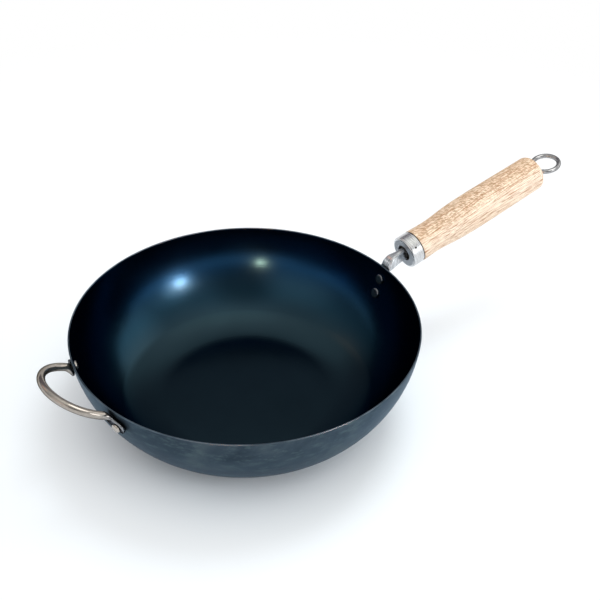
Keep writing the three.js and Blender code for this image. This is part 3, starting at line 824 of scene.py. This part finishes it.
def add(tree, kind, inputs=None, **settings):
    """Adds a node with its settings and inputs."""
    made = tree.nodes.new(kind)
    for key, value in settings.items():
        setattr(made, key, value)
    feed(tree, made, inputs or {})
    return made


def material(name, metallic=0.0):
    """A material with a Principled shader, its nodes and that shader."""
    made = bpy.data.materials.new(name)
    made.use_nodes = True
    shader = made.node_tree.nodes["Principled BSDF"]
    shader.inputs["Metallic"].default_value = metallic
    return made, made.node_tree, shader


def coordinates(tree, in_handle_frame=False):
    """Places on a piece, in metres, in the pan's frame or in the handle's."""
    place = add(tree, "ShaderNodeTexCoord").outputs["Object"]
    if not in_handle_frame:
        return place
    inputs = {
        "Vector": place,
        "Location": handle_place.translation * MM,
        "Rotation": (0, -HANDLE_TILT, 0),
    }
    return add(tree, "ShaderNodeMapping", inputs, vector_type="TEXTURE").outputs[0]


def stretched(tree, vector, scale):
    """The vector with each axis scaled, for noise that is longer one way."""
    return add(tree, "ShaderNodeVectorMath", {0: vector, 1: scale}, operation="MULTIPLY").outputs[0]


def measure(tree, operation, a, b=(0, 0, 0)):
    """The length of a vector, or the distance or dot product of two."""
    return add(tree, "ShaderNodeVectorMath", {0: a, 1: b}, operation=operation).outputs["Value"]


def noise(tree, vector, scale=1.0, detail=3.0, roughness=0.5, distortion=0.0):
    inputs = {
        "Vector": vector,
        "Scale": scale,
        "Detail": detail,
        "Roughness": roughness,
        "Distortion": distortion,
    }
    return add(tree, "ShaderNodeTexNoise", inputs).outputs["Fac"]


def ramp(tree, factor, stops):
    made = add(tree, "ShaderNodeValToRGB", {"Fac": factor})
    elements = made.color_ramp.elements
    while len(elements) < len(stops):
        elements.new(0.5)
    for element, (place, colour) in zip(elements, stops):
        element.position = place
        element.color = (*colour, 1) if isinstance(colour, tuple) else (colour, colour, colour, 1)
    return made.outputs["Color"]


def mixed(tree, factor, a, b, blend="MIX"):
    inputs = {0: factor, 6: a, 7: b}
    return add(tree, "ShaderNodeMix", inputs, data_type="RGBA", blend_type=blend).outputs[2]


def calc(tree, operation, a, b=0.0):
    return add(tree, "ShaderNodeMath", {0: a, 1: b}, operation=operation).outputs[0]


def bump(tree, height, relief, normal=None):
    depth, strength = relief
    inputs = {"Height": height, "Distance": depth * MM, "Strength": strength}
    if normal:
        inputs["Normal"] = normal
    return add(tree, "ShaderNodeBump", inputs).outputs["Normal"]


def spun(tree, vector, fine):
    """Fine rings about +Z, as a spinning tool leaves them."""
    axes = add(tree, "ShaderNodeSeparateXYZ", {0: vector}).outputs
    flat = add(tree, "ShaderNodeCombineXYZ", {0: axes[0], 1: axes[1]}).outputs[0]
    radius = measure(tree, "LENGTH", flat)
    lines = add(tree, "ShaderNodeCombineXYZ", {0: radius, 1: axes[2]}).outputs[0]
    return noise(tree, lines, scale=fine, detail=2.0)


def near(tree, place, point, stops):
    """A share that falls with the distance from a point."""
    return ramp(tree, measure(tree, "DISTANCE", place, point * MM), stops)


def blued_inside():
    """Dark blued steel, bluer towards the rim, with faint clouds and spun lines."""
    made, tree, shader = material("blued_inside", metallic=1.0)
    place = coordinates(tree)
    clouds = noise(tree, place, scale=12.0, distortion=0.4)
    height = add(tree, "ShaderNodeSeparateXYZ", {0: place}).outputs[2]
    blued = ramp(tree, height, BLUED_STOPS)
    wear = noise(tree, place, scale=28.0, detail=4.0)
    lines = spun(tree, place, 800.0)
    inputs = {
        "Base Color": mixed(tree, ramp(tree, clouds, BLUED_CLOUDS), blued, BLACK),
        "Specular Tint": BLUED_GLANCE,
        "Roughness": ramp(tree, wear, BLUED_ROUGHNESS),
        "Normal": bump(tree, lines, BLUED_RELIEF),
    }
    feed(tree, shader, inputs)
    return made


def blued_outside():
    """Slate grey steel with paler scale, painted shadow above the tabs, and a fine grain."""
    made, tree, shader = material("blued_outside", metallic=1.0)
    place = coordinates(tree)
    clouds = noise(tree, place, scale=22.0, detail=6.0, roughness=0.62, distortion=0.8)
    long = stretched(tree, place, SCALE_STRETCH)
    scale = ramp(tree, noise(tree, long, scale=95.0, detail=5.0, roughness=0.7), SCALE_STOPS)
    colour = mixed(tree, scale, ramp(tree, clouds, SLATE_STOPS), SCALE_COLOUR)
    # Painted shadow: the wall is darkened above each tab, where the tab shades it
    for point in tab_shadows:
        colour = mixed(tree, near(tree, place, point, TAB_SHADOW_STOPS), colour, TAB_SHADOW_COLOUR)
    grain = noise(tree, place, scale=900.0)
    lines = bump(tree, spun(tree, place, 420.0), SLATE_LINES)
    inputs = {
        "Base Color": colour,
        "Specular Tint": SLATE_GLANCE,
        "Roughness": ramp(tree, clouds, SLATE_ROUGHNESS),
        "Normal": bump(tree, grain, SLATE_GRAIN, lines),
    }
    feed(tree, shader, inputs)
    return made


def blued_edge():
    """The rim, rubbed paler in places."""
    made, tree, shader = material("blued_edge", metallic=1.0)
    rub = noise(tree, coordinates(tree), scale=60.0, detail=4.0)
    inputs = {
        "Base Color": ramp(tree, rub, RUB_STOPS),
        "Roughness": ramp(tree, rub, RUB_ROUGHNESS),
    }
    feed(tree, shader, inputs)
    return made


def satin_steel(
    name, colour, roughness, grain, in_handle_frame=False, shade=0.82, glance=1.0, shaded_points=()
):
    """Steel with fine lines, and painted shade near the shaded points. grain is how much each axis
    of their noise is stretched.
    """
    made, tree, shader = material(name, metallic=STEEL_METALLIC)
    place = coordinates(tree, in_handle_frame)
    lines = noise(tree, stretched(tree, place, grain), detail=4.0, roughness=0.6)
    dark = tuple(shade * c for c in colour)
    tint = ramp(tree, lines, [(0.3, dark), (0.7, colour)])
    smears = calc(tree, "MULTIPLY", noise(tree, place, scale=120.0), SMEAR_SHARE)
    paint = mixed(tree, smears, tint, (*dark, 1))
    # Painted shade: the steel is darkened near each point, as on the tabs, which mirror the shaded
    # floor
    for point in shaded_points:
        paint = mixed(tree, near(tree, place, point, TAB_SHADE_STOPS), paint, TAB_SHADE_COLOUR)
    smooth_share, rough_share = LINE_ROUGHNESS
    spread = [(0.3, roughness * smooth_share), (0.7, roughness * rough_share)]
    inputs = {
        "Base Color": paint,
        "Specular Tint": (glance, glance, glance, 1),
        "Roughness": ramp(tree, lines, spread),
        "Normal": bump(tree, lines, STEEL_RELIEF),
    }
    feed(tree, shader, inputs)
    return made


def early_wood(tree, place):
    """The share of early wood, in growth rings about the pith, which sways along the grip."""
    sway = noise(tree, stretched(tree, place, SWAY_STRETCH))
    shift = calc(tree, "MULTIPLY", calc(tree, "SUBTRACT", sway, 0.5), SWAY_REACH)
    inputs = {"Vector": place, "Location": PITH_PLACE, "Rotation": PITH_LEAN}
    pith = add(tree, "ShaderNodeMapping", inputs).outputs[0]
    axes = add(tree, "ShaderNodeSeparateXYZ", {0: pith}).outputs
    across = add(tree, "ShaderNodeCombineXYZ", {1: axes[1], 2: axes[2]}).outputs[0]
    distance = calc(tree, "ADD", measure(tree, "LENGTH", across), shift)
    ring = calc(tree, "FRACT", calc(tree, "MULTIPLY", distance, RINGS_PER_METRE))
    return ramp(tree, ring, EARLY_STOPS)


def ray_flecks(tree, place, upper):
    """The share of slanted flecks, on the upper side only, where their darkening also serves as
    painted shade.
    """
    axes = {i: measure(tree, "DOT_PRODUCT", place, axis) for i, axis in enumerate(FLECK_AXES)}
    slanted = add(tree, "ShaderNodeCombineXYZ", axes).outputs[0]
    fleck = noise(tree, slanted, detail=2.0, distortion=0.4)
    return calc(tree, "MULTIPLY", ramp(tree, fleck, FLECK_STOPS), ramp(tree, upper, UPPER_STOPS))


def oak():
    """Pale oak: growth rings, long fibres, open pores, and painted shade and flecks on the upper
    side.
    """
    made, tree, shader = material("oak")
    place = coordinates(tree, in_handle_frame=True)
    early = early_wood(tree, place)
    tone = noise(tree, stretched(tree, place, PALE_STRETCH), detail=4.0)
    rings = calc(tree, "MULTIPLY", early, EARLY_SHARE)
    ringed = mixed(tree, rings, ramp(tree, tone, PALE_STOPS), EARLY_COLOUR)
    fibre = noise(tree, stretched(tree, place, FIBRE_STRETCH), roughness=0.6)
    fibrous = mixed(tree, ramp(tree, fibre, FIBRE_STOPS), ringed, FIBRE_COLOUR)
    upper = measure(tree, "DOT_PRODUCT", place, UPPER_SIDE)
    # Painted shade on the upper side of the grip
    shaded_top = mixed(tree, ramp(tree, upper, UPPER_SHADE_STOPS), fibrous, UPPER_SHADE_COLOUR)
    speckled = mixed(tree, ray_flecks(tree, place, upper), shaded_top, FLECK_COLOUR)
    pore = ramp(tree, noise(tree, stretched(tree, place, PORE_STRETCH), detail=1.0), PORE_STOPS)
    holes = calc(tree, "MULTIPLY", pore, calc(tree, "ADD", early, PORES_IN_LATE_WOOD))
    dark = calc(tree, "MINIMUM", holes, PORE_LIMIT)
    depth = calc(tree, "SUBTRACT", calc(tree, "MULTIPLY", fibre, -FIBRE_DEPTH), holes)
    inputs = {
        "Base Color": mixed(tree, dark, speckled, PORE_COLOUR),
        "Specular IOR Level": OAK_SPECULAR,
        "Roughness": ramp(tree, fibre, OAK_ROUGHNESS),
        "Normal": bump(tree, depth, OAK_RELIEF),
    }
    feed(tree, shader, inputs)
    return made


def dark_recess():
    """Grime in the joint by the ferrule, and painted shade in the grip's pocket and the ferrule's
    stake mark.
    """
    made, tree, shader = material("dark_recess")
    mottle = noise(tree, coordinates(tree), scale=700.0)
    inputs = {"Base Color": ramp(tree, mottle, GRIME_AND_SHADE_STOPS), "Roughness": GRIME_AND_SHADE_ROUGHNESS}
    feed(tree, shader, inputs)
    return made


inside_steel = blued_inside()
outside_steel = blued_outside()
edge_steel = blued_edge()
bracket_steel = satin_steel(
    "bracket_steel",
    (0.84, 0.87, 0.91),
    roughness=0.2,
    grain=(160.0, 1500.0, 160.0),
    in_handle_frame=True,
    shade=0.42,
)
rivet_steel = satin_steel(
    "rivet_steel", (0.20, 0.21, 0.225), roughness=0.15, grain=(900.0, 900.0, 300.0)
)
ferrule_steel = satin_steel(
    "ferrule_steel",
    (0.90, 0.91, 0.93),
    roughness=0.26,
    grain=(2300.0, 120.0, 120.0),
    in_handle_frame=True,
    shade=0.48,
)
ferrule_face = satin_steel(
    "ferrule_face",
    (0.36, 0.385, 0.42),
    roughness=0.4,
    grain=(600.0, 600.0, 600.0),
    in_handle_frame=True,
)
grime_and_shade = dark_recess()
wire_steel = satin_steel(
    "wire_steel",
    (0.50, 0.50, 0.51),
    roughness=0.08,
    grain=(500.0, 500.0, 500.0),
    shade=0.6,
    glance=0.0,
)
polished_steel = satin_steel(
    "polished_steel", (0.62, 0.57, 0.52), roughness=0.17, grain=(420.0, 420.0, 900.0), shade=0.66
)
loop_steel = satin_steel(
    "loop_steel",
    (0.47, 0.43, 0.39),
    roughness=0.1,
    grain=(420.0, 420.0, 900.0),
    shade=0.72,
    glance=0.0,
    shaded_points=tab_points,
)
wood = oak()

# Pieces

handle = placed(handle_place)
bowl_finishes = [outside_steel, inside_steel, edge_steel]
cap_finishes = [ferrule_steel, ferrule_face, grime_and_shade]
bowl = piece("bowl", pan_mesh(), "pan", "pan_body", bowl_finishes)
piece("bracket", bracket_mesh(), "pan", "handle_bracket", [bracket_steel])
stack = rivet_stack(BRACKET_SHEET)
for name, drop in BRACKET_RIVETS.items():
    mesh = rivet_mesh(RIVET_SHANK_RADIUS, RIVET_HEAD_RADIUS, RIVET_HEAD_HEIGHT, stack)
    place = rivet_place(drop, 0, STILL)
    piece(name + "_head", mesh, "pan", name, [rivet_steel], place)
piece("cap", ferrule_mesh(), "pan", "ferrule", cap_finishes, handle)
piece("oak_grip", grip_mesh(), "pan", "grip", [wood, grime_and_shade], handle)
eye = piece("eye_bolt", ring_mesh(), "ring_bolt", "ring_bolt", [wire_steel], handle)
place = placed(helper_turn)
loop = piece("loop", helper_mesh(), "pan", "helper_handle", [loop_steel], place)
stack = rivet_stack(TAB_THICKNESS)
for name, side in HELPER_RIVETS.items():
    mesh = rivet_mesh(HELPER_SHANK_RADIUS, HELPER_HEAD_RADIUS, HELPER_HEAD_HEIGHT, stack)
    place = rivet_place(TAB_DROP, side * TAB_BEARING, helper_turn)
    piece(name + "_head", mesh, "pan", name, [polished_steel], place)
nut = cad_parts["tang_nut"]
nut.data.materials.clear()
nut.data.materials.append(bracket_steel)

# Stage. Bearings and heights are in degrees, lengths in metres, and a stop's place in the studio is
# how nearly a ray runs along an axis.

FLOOR_SIZE = 12.0
FLOOR_DROP = 0.0002
FLOOR_COLOUR = (0.86, 0.915, 0.965, 1)
FLOOR_STOPS = [(0.105, 0.0), (0.16, 0.32), (0.3, 0.75), (0.8, 1.0)]

DOME_AXIS = (-60, 78)
DOME_STOPS = [
    (0.0, (0.22, 0.23, 0.23)),
    (0.105, (0.33, 0.34, 0.34)),
    (0.31, (0.43, 0.44, 0.44)),
    (0.5, (0.55, 0.56, 0.55)),
    (0.74, (0.63, 0.64, 0.63)),
    (0.81, (0.70, 0.70, 0.69)),
    (0.866, (0.81, 0.80, 0.78)),
    (0.914, (0.94, 0.92, 0.89)),
    (0.978, (1.16, 1.16, 1.08)),
]
STAND_AXIS = (-120, 37)
STAND_STOPS = [(0.90, 1.0), (0.985, 0.46)]
FLAG_AXIS = (70, 15)
FLAG_SIDES = [(0.65, 0.0), (0.84, 1.0)]
FLAG_TOP = [(0.70, 1.0), (0.77, 0.0)]
FLAG_TINT = (0.40, 0.35, 0.40, 1)
BACKDROP_TOP = [(0.245, 1.0), (0.30, 0.0)]

# Bearing, height, where the sheen begins and is full, and its colour
SHEENS = [
    (-14, 21, 0.86, 0.98, (0.88, 0.83, 0.78)),
    (-163, 23, 0.86, 0.985, (0.56, 0.42, 0.36)),
    (122, 42, 0.965, 0.995, (0.36, 0.08, 0.0)),
]

# Lamps: name, bearing, height, distance, size, radiance and colour. The first are only seen
# mirrored, some of them by the listed pieces alone. The others only light.
MIRRORED_LAMPS = [
    ("front_lamp", -71, 22, 1.3, 0.19, 112.0, (1.0, 0.44, 0.31), [bowl]),
    ("front_halo", -69, 23, 1.35, 0.55, 2.1, (1.0, 0.96, 0.93), []),
    ("front_glow", -62, 20, 1.4, 0.95, 0.36, (0.80, 0.94, 1.0), []),
    ("small_lamp", -133, 16, 1.3, 0.05, 900.0, (1.0, 0.32, 0.11), [bowl]),
    ("top_strip", -45, 66, 1.5, 0.9, 2.2, (1.0, 0.98, 0.95), [loop, eye]),
]
LIGHTING_LAMPS = [
    ("soft_key", 20, 62, 1.6, 0.7, 8.3, (0.93, 0.985, 1.0)),
    ("side_fill", -60, 18, 1.8, 0.9, 4.6, (0.95, 0.98, 1.0)),
]
for bearing in (-80, 40, 160):
    LIGHTING_LAMPS.append(("sky_fill", bearing, 42, 2.5, 2.6, 0.55, (0.88, 0.95, 1.0)))


def floor_material():
    """A pale floor that takes shadows near the pan and runs out to plain white where it is seen."""
    made = bpy.data.materials.new("floor")
    made.use_nodes = True
    tree = made.node_tree
    tree.nodes.clear()
    rays = add(tree, "ShaderNodeLightPath").outputs
    seen = calc(tree, "MAXIMUM", rays["Is Camera Ray"], rays["Is Glossy Ray"])
    seen = calc(tree, "MAXIMUM", seen, rays["Is Transmission Ray"])
    distance = measure(tree, "LENGTH", coordinates(tree))
    share = calc(tree, "MULTIPLY", seen, ramp(tree, distance, FLOOR_STOPS))
    paint = add(tree, "ShaderNodeBsdfDiffuse", {"Color": FLOOR_COLOUR}).outputs[0]
    white = add(tree, "ShaderNodeEmission", {"Color": WHITE, "Strength": 1.0}).outputs[0]
    both = add(tree, "ShaderNodeMixShader", {0: share, 1: paint, 2: white}).outputs[0]
    add(tree, "ShaderNodeOutputMaterial", {"Surface": both})
    return made


def floor():
    half = FLOOR_SIZE / 2 / MM
    rows = [[(-half, y, 0), (half, y, 0)] for y in (-half, half)]
    mesh = skin(rows, closed_columns=False)
    mesh.materials.append(floor_material())
    obj = bpy.data.objects.new("floor", mesh)
    bpy.context.scene.collection.objects.link(obj)
    obj.location.z = -FLOOR_DROP


def direction(bearing, height):
    bearing, height = math.radians(bearing), math.radians(height)
    level = math.cos(height)
    return Vector((math.cos(bearing) * level, math.sin(bearing) * level, math.sin(height)))


def studio():
    """A dome, bright overhead and dim by the camera, with a flag, sheens and a white horizon."""
    world = bpy.data.worlds.new("studio")
    world.use_nodes = True
    bpy.context.scene.world = world
    tree = world.node_tree
    tree.nodes.clear()
    ray = add(tree, "ShaderNodeTexCoord").outputs["Generated"]

    def towards(bearing, height, stops):
        """A ramp over how nearly a ray runs in a direction."""
        return ramp(tree, measure(tree, "DOT_PRODUCT", ray, direction(bearing, height)), stops)

    rise = measure(tree, "DOT_PRODUCT", ray, Z_AXIS)
    dome = towards(*DOME_AXIS, DOME_STOPS)
    dome = mixed(tree, 1.0, dome, towards(*STAND_AXIS, STAND_STOPS), "MULTIPLY")
    flag = calc(tree, "MULTIPLY", towards(*FLAG_AXIS, FLAG_SIDES), ramp(tree, rise, FLAG_TOP))
    dome = mixed(tree, flag, dome, mixed(tree, 1.0, dome, FLAG_TINT, "MULTIPLY"))
    for bearing, height, begins, full, colour in SHEENS:
        sheen = towards(bearing, height, [(begins, 0.0), (full, colour)])
        dome = mixed(tree, 1.0, dome, sheen, "ADD")
    dome = mixed(tree, ramp(tree, rise, BACKDROP_TOP), dome, WHITE)
    light = add(tree, "ShaderNodeBackground", {"Color": dome, "Strength": 1.0}).outputs[0]
    add(tree, "ShaderNodeOutputWorld", {"Surface": light})


def lamp(name, bearing, height, distance, size, radiance, colour):
    """A round area lamp that faces the pan, with the power for its radiance and its size."""
    data = bpy.data.lights.new(name, "AREA")
    data.shape = "DISK"
    data.size = size
    data.energy = radiance * math.pi * math.pi * (size / 2) ** 2
    data.color = colour
    obj = bpy.data.objects.new(name, data)
    bpy.context.scene.collection.objects.link(obj)
    away = direction(bearing, height)
    obj.location = away * distance + Vector((0, 0, PAN_HEIGHT / 2 * MM))
    obj.rotation_euler = away.to_track_quat("Z", "Y").to_euler()
    return obj


def mirrored_lamp(*row, targets):
    """A lamp that is only seen mirrored, by the targets alone where there are any."""
    obj = lamp(*row)
    obj.visible_diffuse = False
    if targets:
        lit = bpy.data.collections.new(row[0] + "_lit")
        for target in targets:
            lit.objects.link(target)
        obj.light_linking.receiver_collection = lit


floor()
studio()
for *row, targets in MIRRORED_LAMPS:
    mirrored_lamp(*row, targets=targets)
for row in LIGHTING_LAMPS:
    lamp(*row).visible_glossy = False

# Camera: where the photograph was taken from, measured against the rim

CAMERA_REACH = 634.5
CAMERA_RISE = 486.7
CAMERA_LENS = 60.0
CAMERA_SENSOR = 36.0
HANDLE_BEARING = math.radians(31.2)
CAMERA_YAW = 0.06767
CAMERA_PITCH = 0.63363
CAMERA_ROLL = 0.01354

data = bpy.data.cameras.new("camera")
data.lens = CAMERA_LENS
data.sensor_width = CAMERA_SENSOR
camera = bpy.data.objects.new("camera", data)
bpy.context.scene.collection.objects.link(camera)
before_turn = Vector((0, -CAMERA_REACH, PAN_HEIGHT + CAMERA_RISE))
stand = Matrix.Rotation(-HANDLE_BEARING, 4, "Z") @ before_turn
aim = (
    Matrix.Rotation(-HANDLE_BEARING - CAMERA_YAW, 4, "Z")
    @ Matrix.Rotation(QUARTER - CAMERA_PITCH, 4, "X")
    @ Matrix.Rotation(CAMERA_ROLL, 4, "Z")
)
camera.matrix_world = Matrix.Translation(stand * MM) @ aim
bpy.context.scene.camera = camera
bpy.context.scene.view_settings.view_transform = "Standard"
